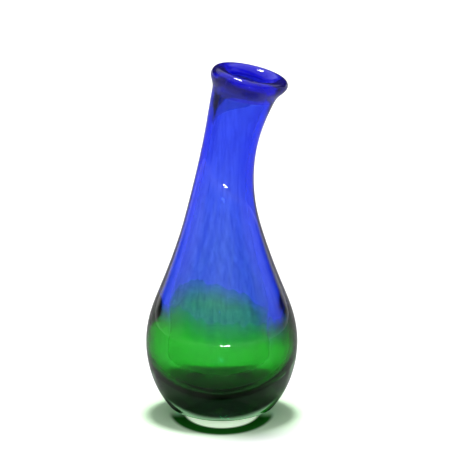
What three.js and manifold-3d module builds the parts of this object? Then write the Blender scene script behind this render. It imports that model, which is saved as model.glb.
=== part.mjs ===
// Hand blown art glass vase: a heavy bulb that draws up into a neck bent to one side.
// A thick clear casing holds a coloured layer, which is a green cup below and a blue
// sleeve above, joined along a tilted ring, and a thick blue lip is rolled on top.
// Millimetres, +Z up. The origin is the middle of the flat base, and the neck bends to +X.
import * as THREE from "three";
import { mergeVertices } from "three/addons/utils/BufferGeometryUtils.js";
import Module from "manifold-3d";

const wasm = await Module();
wasm.setup();

// Driving dimensions. Heights are measured along the centre line of the vase.
const BASE_RADIUS = 28;
const BULB_RADIUS = 53.5;
const BULB_HEIGHT = 52;
const NECK_RADIUS = 19;
const NECK_HEIGHT = 190;
const BEND_START = 134;
const BEND_RADIUS = 258;
const RING_TILT_SHARE = 0.6;
const LIP_RADIUS = 26.8;
const LIP_BOTTOM = 229;
const LIP_TOP = 246.2;
const MOUTH_RADIUS = 14.4;
const MOUTH_HEIGHT = 237;
const BORE_SHARE_BULB = 0.68;
const BORE_SHARE_NECK = 0.74;
const SHARE_CHANGE_START = 56;
const SHARE_CHANGE_END = 84;
const BORE_BOTTOM = 22;
const BORE_BOTTOM_RISE = 24;
const COLOUR_THICKNESS = 2.6;
const CUP_FLOOR_THICKNESS = 3.2;
const SEAM_HEIGHT = 67.5;
const SEAM_TILT = 13;
const GAP = 0.3;
const SEGMENTS = 48;

// The outer outline from the base edge to the underside of the lip, as [radius, height].
const OUTER_OUTLINE = [
  [BASE_RADIUS, 0],
  [33.6, 2.2],
  [38.2, 6],
  [44.8, 16],
  [50.2, 29],
  [BULB_RADIUS, BULB_HEIGHT],
  [50.4, 72],
  [42.8, 92],
  [33.9, 115],
  [26, 140],
  [21, 165],
  [NECK_RADIUS, NECK_HEIGHT],
  [19.6, 208],
  [22, LIP_BOTTOM],
];

// Turns pairs of numbers into points, radius first and height second.
function points(pairs) {
  return pairs.map(([radius, height]) => new THREE.Vector2(radius, height));
}

// A smooth outline through the given pairs, with about the given number of steps.
function smoothOutline(pairs, steps) {
  return new THREE.SplineCurve(points(pairs)).getPoints(steps);
}

const outerOutline = smoothOutline(OUTER_OUTLINE, 300);

// Radius of the outer surface at a height, by straight steps along the fine outline.
function outerRadius(height) {
  const next = outerOutline.findIndex((point) => point.y >= height);
  if (next <= 0) return outerOutline.at(next).x;
  const before = outerOutline[next - 1];
  const after = outerOutline[next];
  const share = (height - before.y) / (after.y - before.y);
  return THREE.MathUtils.lerp(before.x, after.x, share);
}

// Radius of the hollow: a share of the outer radius that grows as the wall gets thinner
// towards the neck, with a round bottom and a flared mouth.
function boreRadius(height) {
  const rise = THREE.MathUtils.clamp((height - BORE_BOTTOM) / BORE_BOTTOM_RISE, 0, 1);
  const bottom = Math.sqrt(1 - (1 - rise) ** 2);
  const flare = THREE.MathUtils.smoothstep(height, NECK_HEIGHT + 10, MOUTH_HEIGHT);
  const thinning = THREE.MathUtils.smoothstep(height, SHARE_CHANGE_START, SHARE_CHANGE_END);
  const share = THREE.MathUtils.lerp(BORE_SHARE_BULB, BORE_SHARE_NECK, thinning);
  const inner = share * outerRadius(Math.min(height, LIP_BOTTOM));
  return bottom * THREE.MathUtils.lerp(inner, MOUTH_RADIUS, flare);
}

// The bore's wall moved outwards by an offset, and its floor downwards by a drop, from the
// middle of the floor up to a height.
function boreWall(offset, drop, top, floorSteps, wallSteps) {
  const wall = [];
  for (let step = 0; step <= floorSteps; step += 1) {
    const angle = (Math.PI / 2) * (step / floorSteps);
    const height = BORE_BOTTOM + BORE_BOTTOM_RISE * (1 - Math.cos(angle));
    const radius = boreRadius(height);
    wall.push([radius + offset * Math.sin(angle), height - drop * Math.cos(angle)]);
  }
  wall[0][0] = 0;
  const start = BORE_BOTTOM + BORE_BOTTOM_RISE;
  for (let step = 1; step <= wallSteps; step += 1) {
    const height = THREE.MathUtils.lerp(start, top, step / wallSteps);
    wall.push([boreRadius(height) + offset, height]);
  }
  return wall;
}

// Revolves an outline about the upright axis, with +Z up, as one closed body.
function revolve(outline) {
  const geometry = new THREE.LatheGeometry(points(outline), SEGMENTS);
  geometry.rotateX(Math.PI / 2);
  geometry.deleteAttribute("normal");
  geometry.deleteAttribute("uv");
  return mergeVertices(geometry, 1e-4);
}

// Bends everything above the bend's start towards +X. The centre line follows an arc,
// and each ring tips by only a share of the arc's angle, so the mouth stays fairly level.
function bendNeck(geometry) {
  const position = geometry.getAttribute("position");
  for (let index = 0; index < position.count; index += 1) {
    const past = position.getZ(index) - BEND_START;
    if (past <= 0) continue;
    const angle = past / BEND_RADIUS;
    const tilt = RING_TILT_SHARE * angle;
    const offset = position.getX(index);
    position.setX(index, BEND_RADIUS * (1 - Math.cos(angle)) + offset * Math.cos(tilt));
    position.setZ(index, BEND_START + BEND_RADIUS * Math.sin(angle) - offset * Math.sin(tilt));
  }
  return geometry;
}

function toManifold(geometry) {
  return new wasm.Manifold(new wasm.Mesh({
    numProp: 3,
    vertProperties: new Float32Array(geometry.getAttribute("position").array),
    triVerts: new Uint32Array(geometry.getIndex().array),
  }));
}

function fromManifold(solid) {
  const mesh = solid.getMesh();
  const geometry = new THREE.BufferGeometry();
  geometry.setAttribute("position", new THREE.BufferAttribute(new Float32Array(mesh.vertProperties), 3));
  geometry.setIndex(new THREE.BufferAttribute(new Uint32Array(mesh.triVerts), 1));
  return geometry;
}

// A large block whose top face is the tilted ring where the two colours meet.
function blockUnderSeam(shift) {
  const size = 4 * BULB_RADIUS;
  const block = new THREE.BoxGeometry(size, size, size);
  block.translate(0, 0, shift - size / 2);
  block.rotateY(THREE.MathUtils.degToRad(SEAM_TILT));
  block.translate(0, 0, SEAM_HEIGHT);
  block.deleteAttribute("normal");
  block.deleteAttribute("uv");
  return toManifold(mergeVertices(block, 1e-4));
}

function namedMesh(name, geometry, colour) {
  const material = new THREE.MeshStandardMaterial({ color: colour, roughness: 0.05, metalness: 0 });
  const mesh = new THREE.Mesh(geometry, material);
  mesh.name = name;
  return mesh;
}

// The thick clear glass: the whole outer surface, and a pocket for the coloured layer.
function clearCasing() {
  const top = LIP_BOTTOM - GAP;
  const outside = smoothOutline(OUTER_OUTLINE, 30).map((point) => [point.x, point.y]);
  outside.at(-1)[1] = top;
  const pocket = boreWall(COLOUR_THICKNESS + GAP, CUP_FLOOR_THICKNESS + GAP, top, 6, 20).reverse();
  return namedMesh("clear_casing", bendNeck(revolve([[0, 0], ...outside, ...pocket])), 0xdfe8de);
}

// The coloured layer before it is parted at the seam: a tall cup, a little thicker in its floor.
function colouredLayer() {
  const top = LIP_BOTTOM - GAP;
  const outside = boreWall(COLOUR_THICKNESS, CUP_FLOOR_THICKNESS, top, 6, 20);
  const inside = boreWall(0, 0, top, 6, 20).reverse();
  return toManifold(revolve([...outside, ...inside]));
}

const layer = colouredLayer();

// The green cup that closes the coloured layer below the seam.
function greenCup() {
  return namedMesh("green_cup", fromManifold(layer.intersect(blockUnderSeam(-GAP / 2))), 0x0c8a1e);
}

// The blue sleeve above the seam, which follows the neck up to the lip.
function blueSleeve() {
  const sleeve = layer.subtract(blockUnderSeam(GAP / 2));
  return namedMesh("blue_sleeve", bendNeck(fromManifold(sleeve)), 0x2f45e0);
}

// The thick rolled lip: a flat underside on the two layers, and a round outer and top edge.
function rolledLip() {
  const outline = [
    [boreRadius(LIP_BOTTOM), LIP_BOTTOM],
    [outerRadius(LIP_BOTTOM), LIP_BOTTOM],
    [23, 233],
    [25.2, 237],
    [LIP_RADIUS, 240.6],
    [26.5, 243.6],
    [24.8, 245.6],
    [21.6, LIP_TOP],
    [18.4, 245.5],
    [15.9, 243.5],
    [14.7, 240.6],
    [MOUTH_RADIUS, 236.4],
    [boreRadius(LIP_BOTTOM), LIP_BOTTOM],
  ];
  return namedMesh("rolled_lip", bendNeck(revolve(outline)), 0x2020b4);
}

const vase = new THREE.Group();
vase.add(clearCasing(), greenCup(), blueSleeve(), rolledLip());

export default vase;
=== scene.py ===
"""Hand blown art glass vase: its looks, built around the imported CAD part.

The vase is four layers of glass fused into one wall: a clear casing outside, a green cup and
a blue sleeve inside it, and a rolled blue lip. The CAD part has a small gap between them.
Here each layer is one fine closed body, and a face attribute says where its surface meets
air. Glass bends light only there. Where two layers are fused, light goes straight on, and
only the colour in the glass changes.

Outlines are in millimetres of the CAD part and are scaled by the size of its casing. All
else is in metres, in the frame of the part: +Z up, with the neck bent towards +X.
"""

import math

import bpy
import numpy as np
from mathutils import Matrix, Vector


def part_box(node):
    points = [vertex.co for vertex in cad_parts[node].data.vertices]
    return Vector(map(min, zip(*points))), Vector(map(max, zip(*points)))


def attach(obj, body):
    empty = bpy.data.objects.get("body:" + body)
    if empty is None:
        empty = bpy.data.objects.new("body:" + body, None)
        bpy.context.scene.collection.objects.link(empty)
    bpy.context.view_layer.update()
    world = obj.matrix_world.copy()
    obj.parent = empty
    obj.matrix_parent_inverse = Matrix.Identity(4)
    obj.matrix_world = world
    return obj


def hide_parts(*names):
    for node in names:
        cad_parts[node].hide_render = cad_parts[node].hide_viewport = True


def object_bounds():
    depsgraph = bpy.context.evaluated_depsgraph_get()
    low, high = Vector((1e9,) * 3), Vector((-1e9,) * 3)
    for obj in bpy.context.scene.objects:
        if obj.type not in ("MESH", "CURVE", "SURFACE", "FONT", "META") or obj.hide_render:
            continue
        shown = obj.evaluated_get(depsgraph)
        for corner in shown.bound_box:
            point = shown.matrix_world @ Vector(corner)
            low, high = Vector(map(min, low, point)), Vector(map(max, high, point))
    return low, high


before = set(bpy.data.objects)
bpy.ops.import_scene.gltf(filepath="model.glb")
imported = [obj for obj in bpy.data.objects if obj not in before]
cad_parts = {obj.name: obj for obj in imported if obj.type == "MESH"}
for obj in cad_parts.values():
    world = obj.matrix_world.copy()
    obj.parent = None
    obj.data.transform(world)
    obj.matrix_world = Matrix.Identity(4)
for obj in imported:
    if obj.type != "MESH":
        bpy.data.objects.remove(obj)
cad_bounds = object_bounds()

# ---------------------------------------------------------------- sizes

CASING_WIDTH = 106.72  # width of the CAD casing in its own millimetres
casing_low, casing_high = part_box("clear_casing")
MM = (casing_high[1] - casing_low[1]) / CASING_WIDTH

# The outer outline from the base edge to the lip, as (radius, height) in millimetres.
OUTLINE = [
    (28, 0),
    (33.6, 2.2),
    (38.2, 6),
    (44.8, 16),
    (50.2, 29),
    (53.5, 52),
    (50.4, 72),
    (42.8, 92),
    (33.9, 115),
    (26, 140),
    (21, 165),
    (19, 190),
    (19.6, 208),
    (22, 229),
]
# The lip, from the outside of the neck over the rim and into the mouth.
LIP_OUTLINE = [
    (22, 229),
    (23, 233),
    (25.2, 237),
    (26.8, 240.6),
    (26.5, 243.6),
    (24.8, 245.6),
    (21.6, 246.2),
    (18.4, 245.5),
    (15.9, 243.5),
    (14.7, 240.6),
    (14.4, 236.4),
]
LIP_BOTTOM = 229
LIP_LEAD = (212, 221)  # heights on the neck that lead the lip's outline in and out
RIM_FADE = (231, 240)  # heights between which the outside turns into the folded rim
RIM_INNER_EDGE = 240.6
MOUTH_HEIGHT = 237
MOUTH_RADIUS = 14.4
FLARE_START = 200

BORE_SHARE_BULB = 0.68
BORE_SHARE_NECK = 0.74
SHARE_CHANGE = (56, 84)  # heights between which the wall gets thinner
BORE_BOTTOM = 22
BORE_RISE = 24
BORE_SHIFT = (-1.3, -0.8)  # the bubble inside a blown bulb is never quite central
SHIFT_FADE = (60, 190)

COLOUR_THICKNESS = 2.6
NECK_EXTRA = 0.9  # the colour is drawn out less in the neck, so it is thicker there
EXTRA_RISE = (130, 205)
CUP_FLOOR_THICKNESS = 3.2
STREAK_DEPTH = 0.18  # how much the coloured layer varies in thickness, as a share of it
BROAD_STREAKS = 0.35
FINE_STREAKS = 1.6
STREAK_TWIST = 0.004  # radians round the vase for each millimetre up, for the broad ones
FINE_TWIST = 1.4  # the fine ones turn this much more
STREAK_RISE = (40, 90)
FUSED_GAP = 0.03

BEND_START = 134
BEND_RADIUS = 258
RING_TILT_SHARE = 0.6

SEAM_HEIGHT = 67.5
SEAM_TILT = math.radians(13)
SEAM_SPREAD = 9  # the two colours overlap for this far above and below the seam
SEAM_WISP = 2.4

OVAL = 0.0016  # how far a ring is from round, as a share of its radius
OVAL_TURN = 0.5
OVAL_TWIST = 0.01

SEGMENTS = 256
ANGLES = np.linspace(0, 2 * math.pi, SEGMENTS, endpoint=False)

# ---------------------------------------------------------------- the shape of the wall


def natural_spline(pairs):
    """A smooth function, such as for the radius at a height, with no kink in slope or curve."""
    height = np.array([pair[1] for pair in pairs], float)
    radius = np.array([pair[0] for pair in pairs], float)
    count = len(pairs)
    step = np.diff(height)
    slope = np.diff(radius) / step
    system = np.eye(count)
    right = np.zeros(count)
    for i in range(1, count - 1):
        system[i, i - 1 : i + 2] = step[i - 1], 2 * (step[i - 1] + step[i]), step[i]
        right[i] = 3 * (slope[i] - slope[i - 1])
    curve = np.linalg.solve(system, right)
    first = slope - step * (2 * curve[:-1] + curve[1:]) / 3
    third = np.diff(curve) / (3 * step)

    def value(at):
        at = np.asarray(at, float)
        k = np.clip(np.searchsorted(height, at, side="right") - 1, 0, count - 2)
        past = at - height[k]
        return radius[k] + past * (first[k] + past * (curve[k] + past * third[k]))

    return value


outer_radius = natural_spline(OUTLINE)


def smoothstep(value, low, high):
    """0 below low, 1 above high, and a smooth step between."""
    share = np.clip((value - low) / (high - low), 0, 1)
    return share * share * (3 - 2 * share)


def bore_radius(height):
    """Radius of the hollow: a share of the outer radius, a round floor and a flared mouth."""
    rise = np.clip((height - BORE_BOTTOM) / BORE_RISE, 0, 1)
    floor = np.sqrt(np.clip(1 - (1 - rise) ** 2, 0, 1))
    flare = smoothstep(height, FLARE_START, MOUTH_HEIGHT)
    thin = smoothstep(height, *SHARE_CHANGE)
    share = BORE_SHARE_BULB + (BORE_SHARE_NECK - BORE_SHARE_BULB) * thin
    inner = share * outer_radius(np.minimum(height, LIP_BOTTOM))
    return floor * ((1 - flare) * inner + flare * MOUTH_RADIUS)


def waves(angle, seed, counts, fall):
    """A wavy line round the vase: sines of several counts, smaller as the count grows."""
    random = np.random.default_rng(seed)
    total = np.zeros_like(angle)
    for count in counts:
        total = total + np.sin(count * angle + random.uniform(0, 2 * math.pi)) / count**fall
    return total


def colour_thickness(height):
    """Thickness of the coloured layer round a ring, with the long streaks of a drawn neck."""
    twist = STREAK_TWIST * height
    broad = waves(ANGLES + twist, seed=3, counts=range(3, 15), fall=0.7)
    fine = waves(ANGLES + twist * FINE_TWIST, seed=4, counts=range(16, 60), fall=0.9)
    streaks = STREAK_DEPTH * (BROAD_STREAKS * broad + FINE_STREAKS * fine)
    mean = COLOUR_THICKNESS + NECK_EXTRA * smoothstep(height, *EXTRA_RISE)
    return mean * (1 + streaks * smoothstep(height, *STREAK_RISE))


def seam_heights(side):
    """Where the overlap of the two colours starts (side -1) or ends (side 1), round the ring."""
    tilt = -math.tan(SEAM_TILT) * bore_radius(SEAM_HEIGHT) * np.cos(ANGLES)
    wisps = SEAM_WISP * waves(ANGLES, seed=7 + side, counts=range(2, 40), fall=0.8)
    return SEAM_HEIGHT + tilt + side * SEAM_SPREAD + wisps


def placed(radius, height, inside):
    """Points round one ring, in metres. Rings of the bore and the coloured layer are inside."""
    swell = 1 + OVAL * np.sin(2 * ANGLES + OVAL_TURN + height * OVAL_TWIST)
    x = radius * swell * np.cos(ANGLES)
    y = radius * swell * np.sin(ANGLES)
    if inside:
        stay = 1 - smoothstep(height, *SHIFT_FADE)
        x = x + BORE_SHIFT[0] * stay
        y = y + BORE_SHIFT[1] * stay
    angle = np.maximum(height - BEND_START, 0) / BEND_RADIUS
    tilt = RING_TILT_SHARE * angle
    level = np.minimum(height, BEND_START)
    bent_x = BEND_RADIUS * (1 - np.cos(angle)) + x * np.cos(tilt)
    bent_z = level + BEND_RADIUS * np.sin(angle) - x * np.sin(tilt)
    return np.stack([bent_x, y, bent_z], axis=1) * MM


# ---------------------------------------------------------------- rings of each surface

FLOOR_TOP = BORE_BOTTOM + BORE_RISE
EDGE_CROWDING = 0.25  # how much closer together the outer rings are near the base edge
OUTSIDE_COUNT = 170
POCKET_COUNT = 110
FLOOR_COUNT = 40
CUP_OUTSIDE_COUNT = 30
CUP_INSIDE_COUNT = 40
SLEEVE_COUNT = 90
OVERLAP_COUNT = 14
LIP_COUNT = 100


def outside_rings(top):
    """Rings of the outer surface, closer together near the base edge."""
    share = np.linspace(0, 1, OUTSIDE_COUNT)
    heights = top * (EDGE_CROWDING * share**2 + (1 - EDGE_CROWDING) * share)
    return [(outer_radius(height), height, False) for height in heights]


def layer_rings(offset, first, last, count, share=0.0):
    """The bore's wall moved out into the glass by an offset and a share of the layer."""
    rings = []
    for step in np.linspace(0, 1, count):
        height = first + (last - first) * step
        mean = float(np.mean(height))
        out = offset + share * colour_thickness(mean)
        rings.append((bore_radius(height) + out, height, True))
    return rings


def floor_rings(offset, share=0.0):
    """The round floor of the bore moved out by an offset, from its middle to its wall."""
    rings = []
    for turn in np.linspace(0, math.pi / 2, FLOOR_COUNT):
        height = BORE_BOTTOM + BORE_RISE * (1 - math.cos(turn))
        out = offset + share * colour_thickness(height)
        down = offset + share * CUP_FLOOR_THICKNESS
        ring = bore_radius(height) + out * math.sin(turn)
        rings.append((ring, height - down * math.cos(turn), True))
    rings[0] = (0.0, rings[0][1], True)
    return rings


def overlap_rings(offset):
    """The slanting sheet between the two colours, from the casing's side up to the bore."""
    low = seam_heights(-1)
    high = seam_heights(1)
    rings = []
    for share in np.linspace(0, 1, OVERLAP_COUNT):
        height = low + (high - low) * share
        thickness = colour_thickness(SEAM_HEIGHT)
        out = np.clip(thickness * (1 - share) + offset, 0, thickness)
        rings.append((bore_radius(height) + out, height, True))
    return rings


def lip_rings():
    """The rim's outline, led in by the neck's outer surface and led out by the bore's."""
    lead = [(float(outer_radius(height)), height) for height in LIP_LEAD]
    tail = [(float(bore_radius(height)), height) for height in (LIP_BOTTOM, *LIP_LEAD[::-1])]
    path = np.array(lead + LIP_OUTLINE + tail, float)
    along = np.concatenate([[0], np.cumsum(np.hypot(*np.diff(path, axis=0).T))])
    radius = natural_spline(list(zip(path[:, 0], along)))
    height = natural_spline(list(zip(path[:, 1], along)))
    steps = np.linspace(along[len(lead)], along[-len(tail)], LIP_COUNT)
    return [(float(radius(step)), float(height(step)), False) for step in steps]


# ---------------------------------------------------------------- bodies

SHARP_ANGLE = math.radians(32)
BASE_RINGS = (0.0, 14.0, 22.0, 26.8, 27.7)  # radii of the rings on the flat base


def face_values(mesh, name, bands):
    """Gives every face of the mesh the value of the band that it lies in."""
    attribute = mesh.attributes.new(name, "FLOAT", "FACE")
    attribute.data.foreach_set("value", np.repeat(np.array(bands, float), SEGMENTS))


def build_body(name, rings, air, material, closed=False, rim=None):
    """One closed body from rings.

    air says for each band between rings if it meets air, and rim how far it is folded rim.
    """
    points = []
    index = []
    for ring in rings:
        placed_ring = placed(*ring)
        if np.max(ring[0]) == 0:
            index.append([len(points)] * SEGMENTS)
            points.append(placed_ring[0])
        else:
            index.append(range(len(points), len(points) + SEGMENTS))
            points.extend(placed_ring)
    if closed:
        index.append(index[0])
    faces = []
    for low, high in zip(index, index[1:]):
        for j in range(SEGMENTS):
            k = (j + 1) % SEGMENTS
            faces.append(list(dict.fromkeys((low[j], low[k], high[k], high[j]))))
    mesh = bpy.data.meshes.new(name)
    mesh.from_pydata([tuple(point) for point in points], [], faces)
    face_values(mesh, "meets_air", air)
    if rim:
        face_values(mesh, "folded_rim", rim)
    mesh.polygons.foreach_set("use_smooth", [True] * len(faces))
    mesh.set_sharp_from_angle(angle=SHARP_ANGLE)
    mesh.materials.append(material)
    body = bpy.data.objects.new(name, mesh)
    bpy.context.scene.collection.objects.link(body)
    return body


def declare(body, node):
    """The body never moves, and stands in for its CAD node."""
    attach(body, "root")
    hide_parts(node)


def clear_casing(material):
    top = LIP_BOTTOM - FUSED_GAP / 2
    base = [(radius, 0.0, False) for radius in BASE_RINGS]
    outside = outside_rings(top)
    wall = layer_rings(FUSED_GAP, FLOOR_TOP, top, POCKET_COUNT, share=1)
    floor = floor_rings(FUSED_GAP, share=1)
    pocket = wall[:0:-1] + floor[::-1]
    air = [True] * (len(base) + len(outside) - 1) + [False] * len(pocket)
    body = build_body("casing", base + outside + pocket, air, material)
    declare(body, "clear_casing")


def green_cup(material):
    outside = floor_rings(0, share=1)
    outside += layer_rings(0, FLOOR_TOP, seam_heights(-1), CUP_OUTSIDE_COUNT, share=1)[1:]
    outside += overlap_rings(-FUSED_GAP / 2)
    inside = layer_rings(0, seam_heights(1), FLOOR_TOP, CUP_INSIDE_COUNT)[1:]
    inside += floor_rings(0)[-2::-1]
    air = [False] * (len(outside) - 1) + [True] * len(inside)
    body = build_body("cup", outside + inside, air, material)
    declare(body, "green_cup")


def blue_sleeve(material):
    top = LIP_BOTTOM - FUSED_GAP / 2
    outside = layer_rings(0, seam_heights(-1), top, SLEEVE_COUNT, share=1)
    inside = layer_rings(0, top, seam_heights(1), SLEEVE_COUNT)
    overlap = overlap_rings(FUSED_GAP / 2)[-2:0:-1]
    air = [False] * len(outside) + [True] * (len(inside) - 1) + [False] * (len(overlap) + 1)
    body = build_body("sleeve", outside + inside + overlap, air, material, closed=True)
    declare(body, "blue_sleeve")


def rolled_lip(material):
    rings = lip_rings()
    lift = FUSED_GAP / 2
    rings[0] = (rings[0][0], LIP_BOTTOM + lift, False)
    rings.append((float(bore_radius(LIP_BOTTOM)), LIP_BOTTOM + lift, False))
    air = [True] * (len(rings) - 1) + [False]
    heights = [float(ring[1]) for ring in rings]
    top = heights.index(max(heights))
    rim = [float(smoothstep(height, *RIM_FADE)) for height in heights[:top]]
    rim += [float(height > RIM_INNER_EDGE) for height in heights[top:]]
    body = build_body("lip", rings, air, material, closed=True, rim=rim)
    declare(body, "rolled_lip")


# ---------------------------------------------------------------- glass

GLASS_IOR = 1.45
STREAK_STRETCH = (1, 1, 0.05)
STREAK_NOISE = {"Scale": 420.0, "Detail": 5.0, "Roughness": 0.62}
STREAK_RANGE = (0.32, 0.62)  # noise below the first is thick colour, and above the last is thin
RIPPLE_NOISE = {"Scale": 38.0, "Detail": 1.0}


class Nodes:
    """Adds nodes to one node tree, each linked as it is made."""

    def __init__(self, tree):
        self.tree = tree
        tree.nodes.clear()

    def add(self, kind, inputs=(), **settings):
        """inputs is {socket: number, colour or another node's output socket}."""
        node = self.tree.nodes.new(kind)
        for name, value in settings.items():
            setattr(node, name, value)
        for socket, value in dict(inputs).items():
            if isinstance(value, bpy.types.NodeSocket):
                self.tree.links.new(value, node.inputs[socket])
            else:
                node.inputs[socket].default_value = value
        return node

    def math(self, operation, *values):
        node = self.add("ShaderNodeMath", dict(enumerate(values)), operation=operation)
        return node.outputs[0]

    def product(self, first, *others):
        for other in others:
            first = self.math("MULTIPLY", first, other)
        return first

    def mix(self, blend, share, first, second):
        """The two colours blended by a share of 0 to 1."""
        node = self.add("ShaderNodeMixRGB", {0: share, 1: first, 2: second}, blend_type=blend)
        return node.outputs[0]

    def distance(self, across, along):
        """The distance from the middle of a place so far across and so far along."""
        squares = self.product(across, across), self.product(along, along)
        return self.math("SQRT", self.math("ADD", *squares))

    def smooth(self, value, low, high):
        """0 below low, 1 above high, and a smooth step between."""
        inputs = {"Value": value, "From Min": low, "From Max": high}
        node = self.add("ShaderNodeMapRange", inputs, interpolation_type="SMOOTHSTEP")
        return node.outputs["Result"]


def streaky_colour(nodes, place, wisps, tint):
    """The tint of the surface, less in a fine pattern of long streaks."""
    stretched = nodes.add("ShaderNodeMapping", {"Vector": place, "Scale": STREAK_STRETCH})
    streaks = nodes.add(
        "ShaderNodeTexNoise",
        {"Vector": stretched.outputs[0], **STREAK_NOISE},
    )
    ramp = nodes.add("ShaderNodeValToRGB", {"Fac": streaks.outputs["Fac"]})
    thick, thin = ramp.color_ramp.elements
    thick.position, thin.position = STREAK_RANGE
    taken = (wisps, wisps, 0.6 * wisps)
    thick.color = (*((1 - less) * share for less, share in zip(taken, tint)), 1)
    thin.color = (*tint, 1)
    return ramp.outputs["Color"]


def fused_glass(name, passes, density, bump, wisps=0.0, tint=(1, 1, 1), milk=0.0, rim=None):
    """Glass whose colour is in its depth.

    passes is the colour that a deep piece lets through, and density how soon it does so.
    bump is how uneven the hand worked surface is, in metres.
    wisps is how much a fine pattern of long streaks takes off the light at the surface.
    tint is the colour of the surface itself, and rim what the folded rim multiplies it by.
    milk is the share of the light that the surface scatters instead of letting it through.
    """
    material = bpy.data.materials.new(name)
    material.use_nodes = True
    nodes = Nodes(material.node_tree)
    place = nodes.add("ShaderNodeTexCoord").outputs["Object"]
    colour = streaky_colour(nodes, place, wisps, tint) if wisps else (*tint, 1)
    if rim:
        folded = nodes.add("ShaderNodeAttribute", attribute_name="folded_rim").outputs["Fac"]
        colour = nodes.mix("MULTIPLY", folded, colour, (*rim, 1))
    ripple = nodes.add("ShaderNodeTexNoise", {"Vector": place, **RIPPLE_NOISE})
    uneven = nodes.add(
        "ShaderNodeBump",
        {"Height": ripple.outputs["Fac"], "Strength": 1.0, "Distance": bump},
    )
    glass = nodes.add(
        "ShaderNodeBsdfPrincipled",
        {
            "Base Color": colour,
            "Roughness": 0.0,
            "IOR": GLASS_IOR,
            "Transmission Weight": 1 - milk,
            "Normal": uneven.outputs["Normal"],
        },
    )
    fused = nodes.add("ShaderNodeBsdfTransparent")
    meets_air = nodes.add("ShaderNodeAttribute", attribute_name="meets_air")
    surface = nodes.add(
        "ShaderNodeMixShader",
        {0: meets_air.outputs["Fac"], 1: fused.outputs[0], 2: glass.outputs[0]},
    )
    inside = nodes.add("ShaderNodeVolumeAbsorption", {"Color": (*passes, 1), "Density": density})
    nodes.add(
        "ShaderNodeOutputMaterial",
        {"Surface": surface.outputs[0], "Volume": inside.outputs[0]},
    )
    return material


def clear_glass():
    """Thick clear glass, faintly green in its depth."""
    return fused_glass("clear_glass", passes=(0.4, 0.8, 0.45), density=20, bump=0.00012)


def green_glass():
    return fused_glass(
        "green_glass",
        passes=(0.03, 0.75, 0.1),
        density=570,
        bump=0.00004,
        wisps=0.12,
        tint=(0.5, 0.96, 0.5),
        milk=0.09,
    )


def blue_glass():
    return fused_glass(
        "blue_glass",
        passes=(0.12, 0.32, 0.93),
        density=560,
        bump=0.00004,
        wisps=0.34,
        tint=(0.85, 0.9, 1),
        milk=0.12,
    )


def lip_glass():
    """Deep blue glass, with a violet cast where the rim is folded over."""
    return fused_glass(
        "lip_glass",
        passes=(0.2, 0.3, 0.95),
        density=250,
        bump=0.00006,
        wisps=0.2,
        tint=(0.1, 0.12, 0.8),
        milk=0.16,
        rim=(0.5, 0.3, 0.75),
    )


clear_casing(clear_glass())
green_cup(green_glass())
blue_sleeve(blue_glass())
rolled_lip(lip_glass())

# ---------------------------------------------------------------- floor, light and camera

low, high = (Vector(corner) for corner in cad_bounds)
HEIGHT = high.z - low.z

VIEW_AZIMUTH = math.radians(30.5)
VIEW_ELEVATION = 11  # degrees
VIEW_DISTANCE = 6.04 * HEIGHT
FRAME_WIDTH = 1.2743 * HEIGHT
AIM_HEIGHT = 0.5377 * HEIGHT
AIM_ASIDE = 0.012 * HEIGHT
SENSOR_WIDTH = 36


def direction(azimuth, elevation):
    """The way to a place seen from the vase, in degrees. Azimuth 0 is behind it in the main view."""
    turn = VIEW_AZIMUTH - math.radians(azimuth)
    rise = math.radians(elevation)
    return Vector(
        (-math.sin(turn) * math.cos(rise), math.cos(turn) * math.cos(rise), math.sin(rise))
    )


def share_mirrored(nodes, share):
    """1, but only a share where the glass mirrors what is seen, as with a polarising filter."""
    path = nodes.add("ShaderNodeLightPath").outputs
    mirrored = nodes.math("MULTIPLY", path["Is Glossy Ray"], path["Is Reflection Ray"])
    return nodes.math("MULTIPLY_ADD", mirrored, share - 1, 1)


# Light and shade painted on the floor in front of the base, where the vase would throw them: a painted
# glowing crescent inside a painted green shadow crescent, by shares of an oval round the base, and a
# painted green cast in the shadow.
THROWN_WIDTH = 0.153 * HEIGHT
THROWN_DEPTH = 0.2515 * HEIGHT
THROWN_START = -0.08 * HEIGHT  # it fades in from beside the vase to this far in front
PAINTED_GLOW_EDGE = (0.74, 0.66)
PAINTED_GREEN_SHADOW_EDGE = (1.02, 0.92)
PAINTED_GLOW_STRENGTH = 0.6
PAINTED_GLOW_COLOUR = (0.85, 1, 0.78, 1)
PAINTED_GREEN_SHADOW = (0.01, 0.12, 0.01, 1)
# The painted green cast in the shadow, and how far round the vase it reaches.
SHADOW_COLOUR = (0.75, 1.0, 0.72, 1)
SHADOW_EDGE = (0.36 * HEIGHT, 0.2 * HEIGHT)
WHITE = (1, 1, 1, 1)
FLOOR_GRAIN = {"Scale": 60.0, "Detail": 2.0}
FLOOR_TONE = {"To Min": 0.84, "To Max": 0.86}
FLOOR_HALF = 80 * HEIGHT
FLOOR_DROP = 0.0003  # the floor is this far below the base, so that the two don't touch
MIRRORED_FLOOR = 0.25  # the share of the floor's brightness that the glass mirrors


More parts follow.
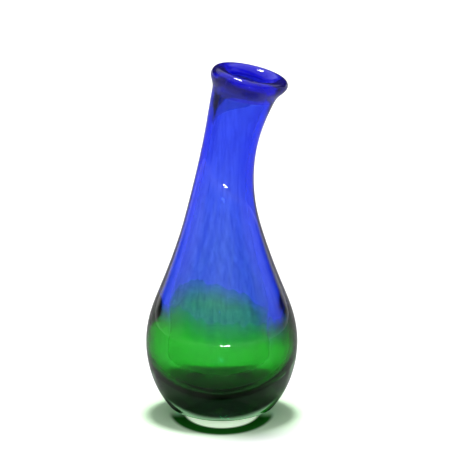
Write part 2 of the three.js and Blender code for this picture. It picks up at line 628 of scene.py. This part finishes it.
def painted_floor_light(nodes):
    """The floor's colour with a painted shadow and a painted green shadow crescent, and the strength
    of a painted glow in front of the base.
    """
    place = nodes.add("ShaderNodeTexCoord").outputs["Object"]
    turned = nodes.add("ShaderNodeMapping", {"Vector": place, "Rotation": (0, 0, -VIEW_AZIMUTH)})
    parts = nodes.add("ShaderNodeSeparateXYZ", {0: turned.outputs[0]}).outputs
    aside, behind = parts["X"], parts["Y"]
    front = nodes.smooth(behind, 0.0, THROWN_START)
    wide = nodes.math("DIVIDE", aside, THROWN_WIDTH)
    deep = nodes.math("DIVIDE", behind, THROWN_DEPTH)
    out = nodes.distance(wide, deep)
    seen = nodes.add("ShaderNodeLightPath").outputs["Is Camera Ray"]
    # bright: the share of a painted glowing crescent in front of the base, seen only by the camera.
    bright = nodes.product(front, nodes.smooth(out, *PAINTED_GLOW_EDGE), seen)
    # green: the share of a painted green shadow crescent round the painted glow.
    green = nodes.product(front, nodes.smooth(out, *PAINTED_GLOW_EDGE[::-1]), nodes.smooth(out, *PAINTED_GREEN_SHADOW_EDGE))
    # near: the share of a painted green cast in the shadow close to the vase.
    near = nodes.smooth(nodes.distance(aside, behind), *SHADOW_EDGE)
    painted_shadow_tint = nodes.mix("MIX", near, WHITE, SHADOW_COLOUR)
    return nodes.mix("MIX", green, painted_shadow_tint, PAINTED_GREEN_SHADOW), nodes.math("MULTIPLY", bright, PAINTED_GLOW_STRENGTH)


def plain_floor():
    """A matt white floor, with the light and shadow that the vase throws painted on it."""
    material = bpy.data.materials.new("floor_white_painted_shadow")
    material.use_nodes = True
    nodes = Nodes(material.node_tree)
    grain = nodes.add("ShaderNodeTexNoise", FLOOR_GRAIN).outputs["Fac"]
    tone = nodes.add("ShaderNodeMapRange", {"Value": grain, **FLOOR_TONE}).outputs["Result"]
    shade = nodes.product(tone, share_mirrored(nodes, MIRRORED_FLOOR))
    # The floor's colour with its painted shadow, and the strength of its painted glow.
    painted_shade_colour, thrown = painted_floor_light(nodes)
    colour = nodes.mix("MULTIPLY", 1.0, painted_shade_colour, shade)
    white = nodes.add("ShaderNodeBsdfDiffuse", {"Color": colour})
    # Painted glow: emission that makes the floor shine in the bright crescent, though no lamp lights
    # it there.
    painted_glow = nodes.add("ShaderNodeEmission", {"Color": PAINTED_GLOW_COLOUR, "Strength": thrown})
    both = nodes.add("ShaderNodeAddShader", {0: white.outputs[0], 1: painted_glow.outputs[0]})
    nodes.add("ShaderNodeOutputMaterial", {"Surface": both.outputs[0]})
    corners = [(-1, -1), (1, -1), (1, 1), (-1, 1)]
    level = low.z - FLOOR_DROP
    mesh = bpy.data.meshes.new("floor")
    mesh.from_pydata([(x * FLOOR_HALF, y * FLOOR_HALF, level) for x, y in corners], [], [(0, 1, 2, 3)])
    mesh.materials.append(material)
    floor = bpy.data.objects.new("floor", mesh)
    bpy.context.scene.collection.objects.link(floor)


# The room, by the height of the direction that a ray leaves in: -1 is down and 1 is up.
HORIZON = (-0.02, 0.1)
CEILING_EDGE = (0.45, 0.65)
BELOW = 1.0
ABOVE = 0.015
CEILING = 0.9
# White cards at both sides, by how far the direction points aside.
SIDE_EDGE = (0.8, 0.95)
SIDE_LEVEL = 0.6
# A low white card behind the vase, by height and by how far the direction points behind.
BACK_TOP = (0.09, 0.14)
BACK_EDGE = (0.6, 0.8)
BACK_LEVEL = 1.0


def facing(nodes, toward, way):
    """How far a direction points the given way, from -1 to 1."""
    return nodes.add(
        "ShaderNodeVectorMath",
        {0: toward, 1: way},
        operation="DOT_PRODUCT",
    ).outputs["Value"]


def studio_world():
    """A white table in a dim room with a bright ceiling, two side cards and a low back card.

    The camera itself sees plain white, and the glass sees the room.
    """
    world = bpy.data.worlds.new("studio")
    bpy.context.scene.world = world
    world.use_nodes = True
    nodes = Nodes(world.node_tree)
    toward = nodes.add("ShaderNodeTexCoord").outputs["Generated"]
    height = nodes.add("ShaderNodeSeparateXYZ", {0: toward}).outputs["Z"]
    above = nodes.smooth(height, *HORIZON)
    overhead = nodes.smooth(height, *CEILING_EDGE)
    level = nodes.math("MULTIPLY_ADD", above, ABOVE - BELOW, BELOW)
    level = nodes.math("MULTIPLY_ADD", overhead, CEILING - ABOVE, level)
    aside = facing(nodes, toward, (math.cos(VIEW_AZIMUTH), math.sin(VIEW_AZIMUTH), 0))
    side_card = nodes.smooth(nodes.math("ABSOLUTE", aside), *SIDE_EDGE)
    level = nodes.math("MAXIMUM", level, nodes.product(side_card, SIDE_LEVEL))
    behind = facing(nodes, toward, (-math.sin(VIEW_AZIMUTH), math.cos(VIEW_AZIMUTH), 0))
    under_top = nodes.math("SUBTRACT", 1.0, nodes.smooth(height, *BACK_TOP))
    back_card = nodes.product(under_top, nodes.smooth(behind, *BACK_EDGE), BACK_LEVEL)
    level = nodes.math("MAXIMUM", level, back_card)
    room = nodes.add("ShaderNodeBackground", {"Color": level})
    backdrop = nodes.add("ShaderNodeBackground", {"Color": WHITE})
    seen = nodes.add("ShaderNodeLightPath").outputs["Is Camera Ray"]
    both = nodes.add(
        "ShaderNodeMixShader",
        {0: seen, 1: room.outputs[0], 2: backdrop.outputs[0]},
    )
    nodes.add("ShaderNodeOutputWorld", {"Surface": both.outputs[0]})


OVERHEAD_PLACE = (0, 80)  # azimuth and elevation, in degrees
OVERHEAD_POWER = 3.7
OVERHEAD_ANGLE = math.radians(12)


def overhead_light():
    """The main light, small and far, almost straight above and a little behind."""
    light = bpy.data.lights.new("overhead", "SUN")
    light.energy = OVERHEAD_POWER
    light.angle = OVERHEAD_ANGLE
    lamp = bpy.data.objects.new("overhead", light)
    lamp.rotation_mode = "QUATERNION"
    lamp.rotation_quaternion = direction(*OVERHEAD_PLACE).to_track_quat("Z", "Y")
    bpy.context.scene.collection.objects.link(lamp)


LIGHT_DISTANCE = 9 * HEIGHT
LIGHT_TARGET = Vector((0, 0, 0.25 * HEIGHT))


def strip_light(name, azimuth, elevation, width, height, power):
    """A long thin light, for the bright dashes on the glass. Sizes are shares of the height."""
    light = bpy.data.lights.new(name, "AREA")
    light.shape = "RECTANGLE"
    light.size = width * HEIGHT
    light.size_y = height * HEIGHT
    light.energy = power
    lamp = bpy.data.objects.new(name, light)
    toward = direction(azimuth, elevation)
    lamp.location = LIGHT_TARGET + toward * LIGHT_DISTANCE
    lamp.rotation_mode = "QUATERNION"
    lamp.rotation_quaternion = toward.to_track_quat("Z", "Y")
    bpy.context.scene.collection.objects.link(lamp)


def main_camera():
    forward = -direction(180, VIEW_ELEVATION)
    right = Vector((math.cos(VIEW_AZIMUTH), math.sin(VIEW_AZIMUTH), 0))
    aim = Vector((0, 0, low.z + AIM_HEIGHT)) + right * AIM_ASIDE
    data = bpy.data.cameras.new("main")
    data.sensor_width = SENSOR_WIDTH
    data.lens = SENSOR_WIDTH * VIEW_DISTANCE / FRAME_WIDTH
    camera = bpy.data.objects.new("main", data)
    camera.location = aim - forward * VIEW_DISTANCE
    camera.rotation_mode = "QUATERNION"
    camera.rotation_quaternion = forward.to_track_quat("-Z", "Y")
    bpy.context.scene.collection.objects.link(camera)
    bpy.context.scene.camera = camera


plain_floor()
studio_world()
overhead_light()
strip_light("dash", azimuth=175, elevation=0.5, width=2.4, height=0.14, power=5)
main_camera()

scene = bpy.context.scene
scene.view_settings.view_transform = "Standard"
scene.cycles.max_bounces = 32
scene.cycles.transmission_bounces = 32
scene.cycles.transparent_max_bounces = 64
scene.cycles.glossy_bounces = 12
